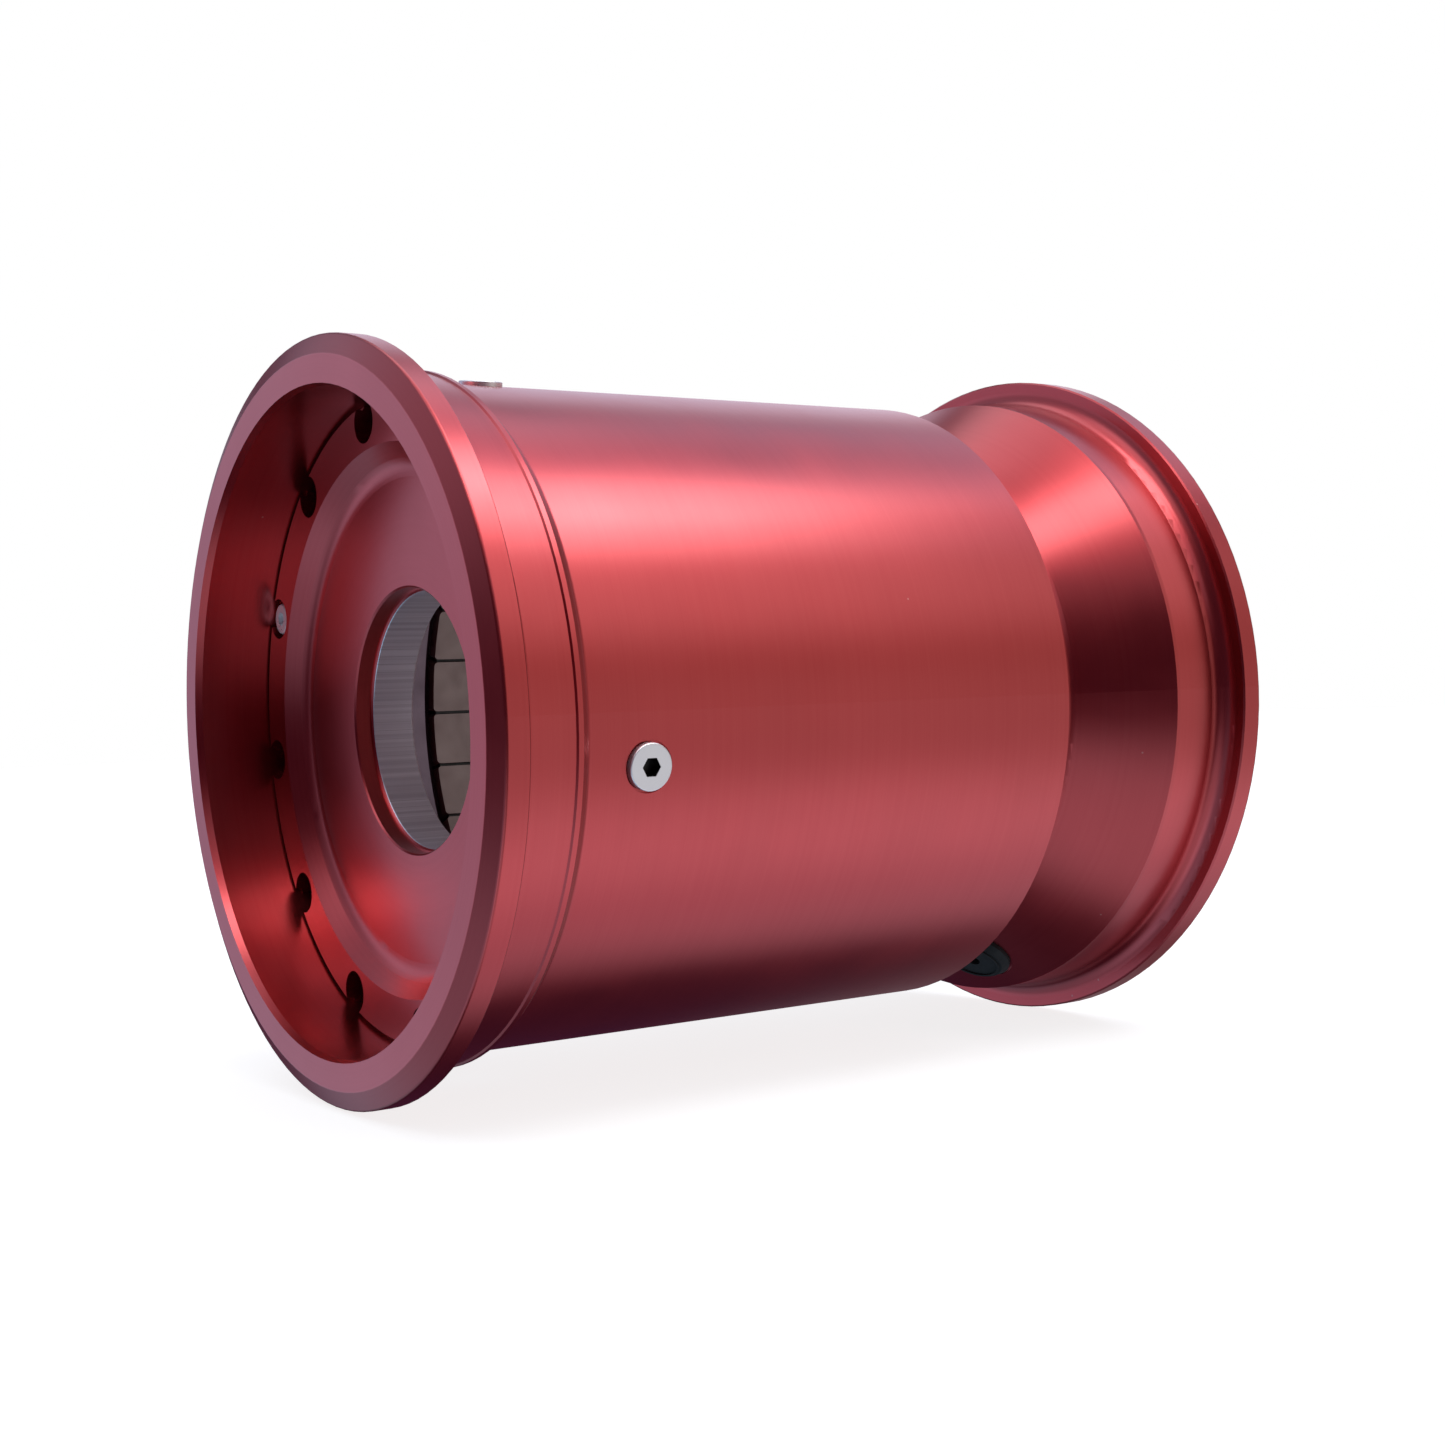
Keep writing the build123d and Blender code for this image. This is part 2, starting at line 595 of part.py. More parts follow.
# ---- rear cover -------------------------------------------------------------------------------
bearing_end = BEARING_FRONT + BEARING_WIDTH
clip_start = bearing_end + SLIP
with BuildPart() as rear_cover:
    with BuildSketch(Plane.XY):
        with BuildLine():
            Polyline(
                (REAR_LIP_R, at(REAR_SPIGOT_FRONT)),
                (REAR_SPIGOT_R, at(REAR_SPIGOT_FRONT)),
                (REAR_SPIGOT_R, at(WEB_REAR + SLIP)),
                (REAR_FLANGE_R, at(WEB_REAR + SLIP)),
                (REAR_FLANGE_R, at(REAR_FACE - REAR_CHAMFER)),
                (REAR_FLANGE_R - REAR_CHAMFER, at(REAR_FACE)),
                (REAR_RECESS_OUT_R, at(REAR_FACE)),
            )
            FilletPolyline(
                (REAR_RECESS_OUT_R, at(REAR_FACE)),
                (REAR_RECESS_OUT_R - REAR_RECESS_DRAFT, at(REAR_FACE - REAR_RECESS_DEPTH)),
                (REAR_RECESS_IN_R + REAR_RECESS_DRAFT, at(REAR_FACE - REAR_RECESS_DEPTH)),
                (REAR_RECESS_IN_R, at(REAR_FACE)),
                radius=REAR_RECESS_FILLET,
            )
            Polyline(
                (REAR_RECESS_IN_R, at(REAR_FACE)),
                (SEAT_R + SEAT_CHAMFER, at(REAR_FACE)),
                (SEAT_R, at(REAR_FACE - SEAT_CHAMFER)),
                (SEAT_R, at(BEARING_FRONT)),
                (REAR_LIP_R, at(BEARING_FRONT)),
                (REAR_LIP_R, at(REAR_SPIGOT_FRONT)),
            )
        make_face()
    revolve(axis=Axis.Y)
    with BuildSketch(Plane.XY):
        with Locations((REAR_SPIGOT_R, at((REAR_SPIGOT_FRONT + WEB_REAR) / 2))):
            Rectangle(2 * SEAL_GROOVE_DEPTH, SEAL_GROOVE_W)
        with Locations((CLIP_GROOVE_R - 1, at(clip_start + CLIP_GROOVE_W / 2))):
            Rectangle(2, CLIP_GROOVE_W)
    revolve(axis=Axis.Y, mode=Mode.SUBTRACT)
    with Locations(rear_plane(REAR_FACE)):
        with PolarLocations(REAR_SCREW_CIRCLE_R, REAR_SCREW_COUNT, REAR_SCREW_PHASE):
            CounterBoreHole(CLEARANCE_R, COUNTERBORE_R, REAR_FACE - rear_screw_seat, depth=8)
save(rear_cover.part, "rear_cover")

# ---- O-rings, drawn squeezed in their grooves ---------------------------------------------------
with BuildPart() as front_cover_o_ring:
    with BuildSketch(Plane.XY):
        with Locations((SPIGOT_R - SEAL_GROOVE_DEPTH / 2, at((COVER_BACK + SPIGOT_END) / 2))):
            Circle(SEAL_SECTION_R)
    revolve(axis=Axis.Y)
save(front_cover_o_ring.part, "front_cover_o_ring")

with BuildPart() as rear_cover_o_ring:
    with BuildSketch(Plane.XY):
        with Locations((REAR_SPIGOT_R - SEAL_GROOVE_DEPTH / 2, at((REAR_SPIGOT_FRONT + WEB_REAR) / 2))):
            Circle(SEAL_SECTION_R)
    revolve(axis=Axis.Y)
save(rear_cover_o_ring.part, "rear_cover_o_ring")

# ---- rear bearing -----------------------------------------------------------------------------
bearing_middle = BEARING_FRONT + BEARING_WIDTH / 2
race_front = BEARING_FRONT + SLIP
race_end = bearing_end - SLIP
race_track_r = BALL_R + GROOVE_CLEARANCE
race_middle = (BEARING_PITCH_R, at(bearing_middle))

with BuildPart() as bearing_outer_race:
    with BuildSketch(Plane.XY):
        with Locations(((OUTER_RACE_IN_R + SEAT_R) / 2, at(bearing_middle))):
            Rectangle(SEAT_R - OUTER_RACE_IN_R, race_end - race_front)
        with Locations(race_middle):
            Circle(race_track_r, mode=Mode.SUBTRACT)
    revolve(axis=Axis.Y)
    circles = bearing_outer_race.edges().filter_by(GeomType.CIRCLE)
    fillet(circles.filter_by(lambda edge: edge.radius > SEAT_R - SLIP), radius=RACE_FILLET)
save(bearing_outer_race.part, "bearing_outer_race")

with BuildPart() as bearing_inner_race:
    with BuildSketch(Plane.XY):
        with Locations(((INNER_RACE_OUT_R + BEARING_BORE_R) / 2, at(bearing_middle))):
            Rectangle(INNER_RACE_OUT_R - BEARING_BORE_R, race_end - race_front)
        with Locations(race_middle):
            Circle(race_track_r, mode=Mode.SUBTRACT)
    revolve(axis=Axis.Y)
save(bearing_inner_race.part, "bearing_inner_race")

with BuildPart() as bearing_balls:
    with Locations(front_plane(bearing_middle)):
        with PolarLocations(BEARING_PITCH_R, BALL_COUNT):
            Sphere(BALL_R)
save(bearing_balls.part, "bearing_balls")

with BuildPart() as bearing_cage:
    with BuildSketch(front_plane(bearing_middle)):
        Circle(BEARING_PITCH_R + CAGE_HALF_T)
        Circle(BEARING_PITCH_R - CAGE_HALF_T, mode=Mode.SUBTRACT)
    extrude(amount=CAGE_HALF_W, both=True)
    for angle in around(BALL_COUNT, 0):
        with BuildSketch(radial_plane(bearing_middle, angle, INNER_RACE_OUT_R)):
            Circle(race_track_r)
        extrude(amount=BEARING_PITCH_R, mode=Mode.SUBTRACT)
save(bearing_cage.part, "bearing_cage")

with BuildPart() as bearing_seals:
    for start in (race_front + BEARING_SEAL_IN, race_end - BEARING_SEAL_IN - BEARING_SEAL_T):
        with BuildSketch(front_plane(start)):
            Circle(OUTER_RACE_IN_R - SLIP)
            Circle(INNER_RACE_OUT_R + SEAL_LIP_GAP, mode=Mode.SUBTRACT)
        extrude(amount=-BEARING_SEAL_T)
save(bearing_seals.part, "bearing_seals")

# Internal circlip with plier holes, behind the bearing.
with BuildPart() as rear_circlip:
    with BuildSketch(rear_plane(clip_start + SLIP)):
        Circle(CLIP_GROOVE_R - 0.05)
        with Locations((-CLIP_OFFSET, 0)):
            Circle(CLIP_IN_R, mode=Mode.SUBTRACT)
        with PolarLocations(CLIP_EAR_CIRCLE_R, 2, CLIP_EAR_START, 2 * CLIP_EAR_ANGLE, endpoint=True):
            Circle(CLIP_EAR_R)
        with Locations((-CLIP_GROOVE_R, 0)):
            Rectangle(CLIP_GAP_LENGTH, CLIP_GAP, mode=Mode.SUBTRACT)
        with PolarLocations(CLIP_EAR_CIRCLE_R, 2, CLIP_EAR_START, 2 * CLIP_EAR_ANGLE, endpoint=True):
            Circle(CLIP_HOLE_R, mode=Mode.SUBTRACT)
    extrude(amount=CLIP_T)
save(rear_circlip.part, "rear_circlip")

# ---- tyre valve ---------------------------------------------------------------------------------
# Distances along the valve are measured in from the cone's outer surface.
with BuildPart() as valve_body:
    with BuildSketch(valve_profile):
        with BuildLine():
            Polyline(
                (AIR_HOLE_R, VALVE_BASE_TOP),
                (VALVE_BASE_R - VALVE_BASE_CHAMFER, VALVE_BASE_TOP),
                (VALVE_BASE_R, VALVE_BASE_TOP + VALVE_BASE_CHAMFER),
                (VALVE_BASE_R, SPOTFACE_DEPTH - SLIP),
                (VALVE_HOLE_R - SLIP, SPOTFACE_DEPTH - SLIP),
                (VALVE_HOLE_R - SLIP, WALL + SLIP),
                (VALVE_BULGE_R, WALL + SLIP),
                (VALVE_BULGE_R, WALL + VALVE_BULGE_T),
                (VALVE_SLEEVE_R, WALL + VALVE_BULGE_END),
                (VALVE_SLEEVE_END_R, VALVE_SLEEVE_END),
                (STEM_R + SLIP, VALVE_SLEEVE_END),
                (STEM_R + SLIP, STEM_START - SLIP),
                (AIR_HOLE_R, STEM_START - SLIP),
                close=True,
            )
        make_face()
    revolve(axis=valve_axis)
    with BuildSketch(valve_plane(VALVE_BASE_TOP)):
        for ring_r in VALVE_RING_RADII:
            Circle(ring_r + VALVE_RING_W / 2)
            Circle(ring_r - VALVE_RING_W / 2, mode=Mode.SUBTRACT)
    extrude(amount=-VALVE_RING_H)
save(valve_body.part, "valve_body")

with BuildPart() as valve_stem:
    with BuildSketch(valve_profile):
        with BuildLine():
            Polyline(
                (STEM_HOLE_R, STEM_START),
                (STEM_R, STEM_START),
                (STEM_R, STEM_SHOULDER),
                (CAP_THREAD_R, STEM_SHOULDER + 0.6),
                (CAP_THREAD_R, STEM_END - 0.5),
                (CAP_THREAD_R - 0.5, STEM_END),
                (CORE_THREAD_R, STEM_END),
                (CORE_THREAD_R, CORE_SEAT + 0.5),
                (CORE_BORE_R, CORE_SEAT),
                (CORE_BORE_R, CORE_BORE_START),
                (STEM_HOLE_R, CORE_BORE_START - 0.5),
                close=True,
            )
        make_face()
    revolve(axis=valve_axis)
save(valve_stem.part, "valve_stem")

with BuildPart() as valve_core_body:
    with BuildSketch(valve_profile):
        with BuildLine():
            Polyline(
                (CORE_HOLE_R, CORE_START),
                (CORE_NECK_R, CORE_START),
                (CORE_NECK_R, CORE_SEAT + 0.8),
                (CORE_THREAD_R - 0.05, CORE_SEAT + 0.8),
                (CORE_THREAD_R - 0.05, CORE_END),
                (CORE_HOLE_R, CORE_END),
                (CORE_HOLE_R, CORE_END - 0.6),
                (SPRING_ROOM_R, CORE_END - 0.6),
                (SPRING_ROOM_R, SPRING_FLOOR),
                (CORE_HOLE_R, SPRING_FLOOR),
                close=True,
            )
        make_face()
    revolve(axis=valve_axis)
save(valve_core_body.part, "valve_core_body")

with BuildPart() as valve_core_gasket:
    with BuildSketch(valve_plane(CORE_SEAT - 1.4)):
        Circle(CORE_BORE_R - SLIP)
        Circle(CORE_NECK_R + SLIP, mode=Mode.SUBTRACT)
    extrude(amount=1.3)
save(valve_core_gasket.part, "valve_core_gasket")

with BuildPart() as valve_core_pin:
    with BuildSketch(valve_plane(PIN_START)):
        Circle(PIN_R)
    extrude(amount=PIN_END - PIN_START)
    with BuildSketch(valve_plane(PIN_START)):
        Circle(PIN_CUP_R)
    extrude(amount=PIN_CUP_T)
    with BuildSketch(valve_plane(PIN_COLLAR)):
        Circle(PIN_COLLAR_R)
    extrude(amount=PIN_COLLAR_T)
save(valve_core_pin.part, "valve_core_pin")

with BuildPart() as valve_core_seal:
    with BuildSketch(valve_plane(PIN_START + PIN_CUP_T + 0.01)):
        Circle(PIN_CUP_R)
        Circle(PIN_R + 0.01, mode=Mode.SUBTRACT)
    extrude(amount=CORE_START - PIN_START - PIN_CUP_T - 0.02)
save(valve_core_seal.part, "valve_core_seal")

# The spring is drawn at its length with the pin pressed in.
spring_length = PIN_COLLAR - PIN_TRAVEL - SPRING_FLOOR - 2 * SPRING_WIRE_R - 0.1
with BuildPart() as valve_core_spring:
    with BuildLine() as coil:
        Helix(
            pitch=spring_length / SPRING_TURNS,
            height=spring_length,
            radius=SPRING_R,
            center=valve_origin + valve_dir * (SPRING_FLOOR + SPRING_WIRE_R + SLIP),
            direction=valve_dir,
        )
    with BuildSketch(Plane(origin=coil.line @ 0, z_dir=coil.line % 0)):
        Circle(SPRING_WIRE_R)
    sweep(is_frenet=True)
save(valve_core_spring.part, "valve_core_spring")

with BuildPart() as valve_cap:
    with BuildSketch(valve_profile):
        with BuildLine():
            Polyline(
                (CAP_THREAD_R + 0.05, CAP_START),
                (CAP_R, CAP_START),
                (CAP_R, CAP_END - CAP_CHAMFER),
                (CAP_R - CAP_CHAMFER, CAP_END),
                (0, CAP_END),
                (0, CAP_ROOF),
                (CAP_THREAD_R + 0.05, CAP_ROOF),
                close=True,
            )
        make_face()
    revolve(axis=valve_axis)
    with BuildSketch(valve_plane(CAP_START)):
        with PolarLocations(CAP_R, CAP_FLUTES):
            Circle(CAP_FLUTE_R)
    extrude(amount=CAP_END - CAP_START - CAP_FLUTE_STOP, mode=Mode.SUBTRACT)
save(valve_cap.part, "valve_cap")

with BuildPart() as valve_cap_seal:
    with BuildSketch(valve_plane(CAP_ROOF - SLIP)):
        Circle(CAP_THREAD_R - 0.3)
        Circle(CORE_THREAD_R - 0.6, mode=Mode.SUBTRACT)
    extrude(amount=STEM_END + 2 * SLIP - CAP_ROOF)
save(valve_cap_seal.part, "valve_cap_seal")
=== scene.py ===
"""Looks of the in-wheel motor rotor: materials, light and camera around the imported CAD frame.

Everything is in metres, in the CAD frame: Y is the spin axis, the bolted face looks towards -Y,
+Z is up and the origin is half way across the width.
"""
import math

import bpy
from mathutils import Matrix, Vector


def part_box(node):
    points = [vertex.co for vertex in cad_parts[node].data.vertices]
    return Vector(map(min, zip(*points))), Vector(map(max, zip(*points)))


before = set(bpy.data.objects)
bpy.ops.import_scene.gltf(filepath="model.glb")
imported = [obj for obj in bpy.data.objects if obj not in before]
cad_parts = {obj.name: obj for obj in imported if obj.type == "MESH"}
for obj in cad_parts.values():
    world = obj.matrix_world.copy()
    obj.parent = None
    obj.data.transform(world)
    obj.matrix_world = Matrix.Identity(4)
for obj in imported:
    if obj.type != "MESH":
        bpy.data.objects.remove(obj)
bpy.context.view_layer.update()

MM = 0.001
QUARTER_TURN = math.tau / 4

# ---- places, worked out from the frame -----------------------------------------------------------
shell_low, shell_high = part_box("hub_shell")
FRONT_Y = shell_low[1]
FLANGE_R = shell_high[0]


def depth_y(depth_mm):
    """Y of a depth behind the front face, given in millimetres."""
    return FRONT_Y + depth_mm * MM


# Stretches of the covers' bores that were machined after dyeing: along Y, and in radius.
FRONT_SEAT_Y = (depth_y(22.6), depth_y(31.2))
FRONT_SEAT_R = (23.0 * MM, 24.0 * MM)
REAR_SEAT_Y = (depth_y(121.9), depth_y(134.4))
REAR_SEAT_R = (23.0 * MM, 24.9 * MM)

# The four radial lock screws.
LOCK_ANGLE = math.radians(-8.4)  # of one of them; the others follow by quarter turns
LOCK_Y = depth_y(31.5)
LOCK_TOP_R = 61.3 * MM  # distance of the heads' outer faces from the axis
LOCK_SOCKET_R = 2.0 * MM
SOCKET_SHADE_FULL = 0.25 * MM  # below the head's face: the sockets' painted shade is full from here inwards
SOCKET_SHADE_GONE = 0.05 * MM


# ---- node helpers --------------------------------------------------------------------------------
# Sockets of the Mix node, which has a set of its own for each kind of value.
MIX_NUMBERS = (2, 3)
MIX_NUMBER_OUT = 0
MIX_COLOURS = (6, 7)
MIX_COLOUR_OUT = 2


class Graph:
    """Short calls for building a node tree."""

    def __init__(self, tree):
        self.tree = tree
        self.tree.nodes.clear()

    def link(self, source, target):
        self.tree.links.new(source, target)

    def node(self, kind, **values):
        made = self.tree.nodes.new(kind)
        for key, value in values.items():
            setattr(made, key, value)
        return made

    def feed(self, sockets, values):
        """Link an output to each socket, or set it to a plain value. None leaves it alone."""
        for socket, value in zip(sockets, values):
            if isinstance(value, bpy.types.NodeSocket):
                self.link(value, socket)
            elif value is not None:
                socket.default_value = value

    def math(self, operation, a, b=None):
        made = self.node("ShaderNodeMath", operation=operation)
        self.feed(made.inputs, (a, b))
        return made.outputs[0]

    def product(self, a, b):
        return self.math("MULTIPLY", a, b)

    def between(self, value, span):
        """1 inside the span, 0 outside it."""
        low, high = span
        return self.product(self.math("GREATER_THAN", value, low), self.math("LESS_THAN", value, high))

    def sum_of_squares(self, a, b):
        return self.math("ADD", self.product(a, a), self.product(b, b))

    def position(self):
        return self.node("ShaderNodeTexCoord").outputs["Object"]

    def split(self, vector):
        made = self.node("ShaderNodeSeparateXYZ")
        self.link(vector, made.inputs[0])
        return made.outputs

    def combine(self, x, y, z):
        made = self.node("ShaderNodeCombineXYZ")
        self.feed(made.inputs, (x, y, z))
        return made.outputs[0]

    def lathe_coords(self):
        """(radius, y, angle) of the shaded point about the spin axis, in metres and radians."""
        x, y, z = self.split(self.position())
        return self.math("SQRT", self.sum_of_squares(x, z)), y, self.math("ARCTAN2", z, x)

    def noise(self, vector, scale, detail):
        made = self.node("ShaderNodeTexNoise")
        self.link(vector, made.inputs["Vector"])
        made.inputs["Scale"].default_value = scale
        made.inputs["Detail"].default_value = detail
        return made.outputs["Fac"]

    def remap(self, value, low, high, to_low=0.0, to_high=1.0, smooth=False):
        made = self.node("ShaderNodeMapRange")
        made.interpolation_type = "SMOOTHSTEP" if smooth else "LINEAR"
        self.feed(made.inputs, (value, low, high, to_low, to_high))
        return made.outputs[0]

    def mix(self, factor, a, b):
        """Mix two colours."""
        made = self.node("ShaderNodeMix", data_type="RGBA")
        sockets = [made.inputs[index] for index in (0, *MIX_COLOURS)]
        self.feed(sockets, (factor, a, b))
        return made.outputs[MIX_COLOUR_OUT]

    def blend(self, factor, a, b):
        """Mix two numbers."""
        made = self.node("ShaderNodeMix", data_type="FLOAT")
        sockets = [made.inputs[index] for index in (0, *MIX_NUMBERS)]
        self.feed(sockets, (factor, a, b))
        return made.outputs[MIX_NUMBER_OUT]

    def bump(self, height, strength, distance):
        made = self.node("ShaderNodeBump")
        made.inputs["Strength"].default_value = strength
        made.inputs["Distance"].default_value = distance
        self.link(height, made.inputs["Height"])
        return made.outputs[0]

    def specks(self, vector, scale, size, share):
        """Small round specks: 1 inside a speck, only in that share of the cells."""
        cells = self.node("ShaderNodeTexVoronoi")
        self.link(vector, cells.inputs["Vector"])
        cells.inputs["Scale"].default_value = scale
        near = self.math("LESS_THAN", cells.outputs["Distance"], size)
        pick = self.split(cells.outputs["Color"])[0]
        return self.product(near, self.math("LESS_THAN", pick, share))


class Finish(Graph):
    """A material with one Principled shader."""

    def __init__(self, name):
        self.material = bpy.data.materials.new(name)
        self.material.use_nodes = True
        super().__init__(self.material.node_tree)
        self.shader = self.node("ShaderNodeBsdfPrincipled")
        out = self.node("ShaderNodeOutputMaterial")
        self.link(self.shader.outputs[0], out.inputs["Surface"])

    def set(self, name, value):
        self.feed([self.shader.inputs[name]], [value])


def rgb(red, green, blue):
    return (red, green, blue, 1.0)


# ---- materials -----------------------------------------------------------------------------------
GRAIN_DEPTH = 0.1 * MM
TOOL_MARK_DEPTH = 0.2 * MM
CHATTER_LINES = 90.0  # places round a bearing seat where a dark axial line may stand
CHATTER_WIDTH = 0.06  # of a line, as a share of the pitch


def tool_marks(g, radius, along):
    """Circumferential tool marks: noise that varies across the turned profile, not round it."""
    profile = g.combine(radius, along, 0.0)
    coarse = g.noise(profile, scale=900.0, detail=1.0)
    fine = g.noise(profile, scale=5200.0, detail=2.0)
    return g.math("ADD", g.product(coarse, 0.45), g.product(fine, 0.55))


def bare_steel(g, angle):
    """Colour of a machined bearing seat: streaks along the axis, and dark lines in some of them."""
    ring = g.combine(g.math("COSINE", angle), g.math("SINE", angle), 0.0)
    streak = g.noise(ring, scale=22.0, detail=3.0)
    steel = g.mix(g.remap(streak, 0.35, 0.65), rgb(0.66, 0.61, 0.70), rgb(0.90, 0.85, 0.95))
    pitch = g.math("FRACT", g.product(angle, CHATTER_LINES / math.tau))
    line = g.math("LESS_THAN", pitch, CHATTER_WIDTH)
    line = g.product(line, g.remap(streak, 0.4, 0.6))
    return g.mix(g.product(line, 0.45), steel, rgb(0.12, 0.10, 0.12))


def red_anodise(name, bare_y=None, bare_r=None):
    """Satin red anodise over turned aluminium, with bare metal inside the two spans if given."""
    g = Finish(name)
    where = g.position()
    radius, along, angle = g.lathe_coords()
    marks = tool_marks(g, radius, along)
    dust = g.specks(where, scale=260.0, size=0.06, share=0.05)
    cloud = g.noise(where, scale=28.0, detail=3.0)
    colour = g.mix(cloud, rgb(0.48, 0.042, 0.048), rgb(0.56, 0.054, 0.062))
    colour = g.mix(g.remap(marks, 0.35, 0.65, to_high=0.2), colour, rgb(0.62, 0.08, 0.085))
    colour = g.mix(g.product(dust, 0.35), colour, rgb(0.8, 0.45, 0.42))
    patches = g.noise(where, scale=60.0, detail=3.0)
    rough = g.remap(patches, 0.3, 0.7, to_low=0.28, to_high=0.34)
    rough = g.math("ADD", rough, g.product(dust, 0.2))
    coat = 0.7
    metallic = 1.0
    if bare_y:
        bare = g.product(g.between(along, bare_y), g.between(radius, bare_r))
        colour = g.mix(bare, colour, bare_steel(g, angle))
        rough = g.blend(bare, rough, 0.3)
        coat = g.blend(bare, coat, 0.0)
        metallic = g.blend(bare, metallic, 0.75)
    g.set("Base Color", colour)
    g.set("Metallic", metallic)
    g.set("Roughness", rough)
    g.set("Coat Weight", coat)
    g.set("Coat Roughness", 0.2)
    g.set("Normal", g.bump(marks, strength=0.06, distance=TOOL_MARK_DEPTH))
    return g.material


def metal(name, dark, light, roughness, metallic=1.0):
    """Plain metal with clouded colour and a fine grain."""
    g = Finish(name)
    where = g.position()
    cloud = g.noise(where, scale=90.0, detail=3.0)
    patches = g.noise(where, scale=240.0, detail=3.0)
    grain = g.noise(where, scale=900.0, detail=3.0)
    g.set("Base Color", g.mix(cloud, rgb(*dark), rgb(*light)))
    g.set("Metallic", metallic)
    g.set("Roughness", g.remap(patches, 0.3, 0.7, to_low=roughness * 0.85, to_high=roughness * 1.2))
    g.set("Normal", g.bump(grain, strength=0.05, distance=GRAIN_DEPTH))
    return g.material


def moulded(name, dark, light, roughness):
    """Rubber or plastic with a fine moulded grain."""
    g = Finish(name)
    where = g.position()
    cloud = g.noise(where, scale=200.0, detail=3.0)
    patches = g.noise(where, scale=400.0, detail=2.0)
    grain = g.noise(where, scale=1500.0, detail=3.0)
    g.set("Base Color", g.mix(cloud, rgb(*dark), rgb(*light)))
    g.set("Roughness", g.remap(patches, 0.3, 0.7, to_low=roughness * 0.9, to_high=roughness * 1.1))
    g.set("Normal", g.bump(grain, strength=0.1, distance=GRAIN_DEPTH))
    return g.material


def lock_steel():
    """Blasted stainless, with painted shade in the sockets of the radial screws, darker deeper in."""
    g = Finish("lock screw steel")
    where = g.position()
    radius, along, angle = g.lathe_coords()
    turn = g.math("SUBTRACT", angle, LOCK_ANGLE)
    nearest = g.math("ROUND", g.math("DIVIDE", turn, QUARTER_TURN))
    turn = g.math("SUBTRACT", turn, g.product(nearest, QUARTER_TURN))
    sideways = g.product(radius, turn)
    lengthways = g.math("SUBTRACT", along, LOCK_Y)
    off_centre = g.math("SQRT", g.sum_of_squares(sideways, lengthways))
    in_socket = g.math("LESS_THAN", off_centre, LOCK_SOCKET_R)
    socket_shade = g.remap(radius, LOCK_TOP_R - SOCKET_SHADE_FULL, LOCK_TOP_R - SOCKET_SHADE_GONE, to_low=1.0, to_high=0.0)
    cloud = g.noise(where, scale=300.0, detail=3.0)
    steel = g.mix(cloud, rgb(0.84, 0.80, 0.84), rgb(0.93, 0.89, 0.93))
    grain = g.noise(where, scale=2500.0, detail=3.0)
    # Painted shade: the sockets go near-black below the head's face, fully so deeper in.
    g.set("Base Color", g.mix(g.product(in_socket, socket_shade), steel, rgb(0.05, 0.045, 0.045)))
    g.set("Metallic", 1.0)
    g.set("Roughness", g.remap(cloud, 0.3, 0.7, to_low=0.38, to_high=0.5))
    g.set("Normal", g.bump(grain, strength=0.12, distance=GRAIN_DEPTH))
    return g.material


def give(material, *nodes):
    """Put one material on CAD nodes."""
    for node in nodes:
        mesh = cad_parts[node].data
        mesh.materials.clear()
        mesh.materials.append(material)


def dress_shell():
    """Rim, covers, rotor and the screws that hold them."""
    give(red_anodise("red anodise"), "hub_shell")
    give(red_anodise("front cover anodise", FRONT_SEAT_Y, FRONT_SEAT_R), "front_cover")
    give(red_anodise("rear cover anodise", REAR_SEAT_Y, REAR_SEAT_R), "rear_cover")
    give(metal("back iron steel", (0.10, 0.07, 0.09), (0.17, 0.13, 0.16), 0.32), "flux_ring")
    nickel = metal("nickel plate", (0.27, 0.20, 0.19), (0.34, 0.26, 0.25), 0.42, metallic=0.35)
    give(nickel, "rotor_magnets")
    potting = moulded("potting resin", (0.01, 0.01, 0.01), (0.03, 0.03, 0.03), 0.6)
    give(potting, "magnet_bond_strips", "magnet_end_ring")
    give(metal("black oxide", (0.02, 0.02, 0.022), (0.04, 0.04, 0.044), 0.4), "cover_screws")
    stainless = metal("stainless steel", (0.78, 0.75, 0.80), (0.90, 0.87, 0.92), 0.32)
    give(stainless, "rear_cover_screws")
    # Painted light: a paler, partly diffuse copy of the stainless, so this screw reads lit inside its
    # shaded counterbore.
    lit_stainless = metal("stainless painted lighter", (0.86, 0.84, 0.86), (0.97, 0.95, 0.97), 0.3, metallic=0.45)
    give(lit_stainless, "cover_screw_bright")
    give(lock_steel(), "lock_screws")


def dress_seals():
    """Every soft seal of the rotor, its bearing and its valve."""
    rubber = moulded("seal rubber", (0.008, 0.008, 0.009), (0.02, 0.02, 0.021), 0.55)
    give(rubber, "lock_screw_seals", "front_cover_o_ring", "rear_cover_o_ring", "bearing_seals")
    give(rubber, "valve_core_gasket", "valve_core_seal", "valve_cap_seal")


def dress_bearing():
    """The rear bearing and its circlip; the valve's spring is of the same steel."""
    bearing_steel = metal("bearing steel", (0.55, 0.55, 0.56), (0.68, 0.68, 0.69), 0.16)
    give(bearing_steel, "bearing_outer_race", "bearing_inner_race", "bearing_balls")
    give(moulded("cage nylon", (0.10, 0.08, 0.05), (0.15, 0.12, 0.08), 0.5), "bearing_cage")
    spring_steel = metal("spring steel", (0.10, 0.10, 0.105), (0.18, 0.18, 0.19), 0.35)
    give(spring_steel, "rear_circlip", "valve_core_spring")


def dress_valve():
    """The tyre valve's rubber, brass and cap."""
    give(moulded("valve rubber", (0.003, 0.003, 0.004), (0.007, 0.007, 0.008), 0.8), "valve_body")
    brass = metal("valve brass", (0.50, 0.33, 0.12), (0.68, 0.48, 0.20), 0.28)
    give(brass, "valve_stem", "valve_core_body", "valve_core_pin")
    give(moulded("cap plastic", (0.012, 0.012, 0.012), (0.02, 0.02, 0.02), 0.35), "valve_cap")


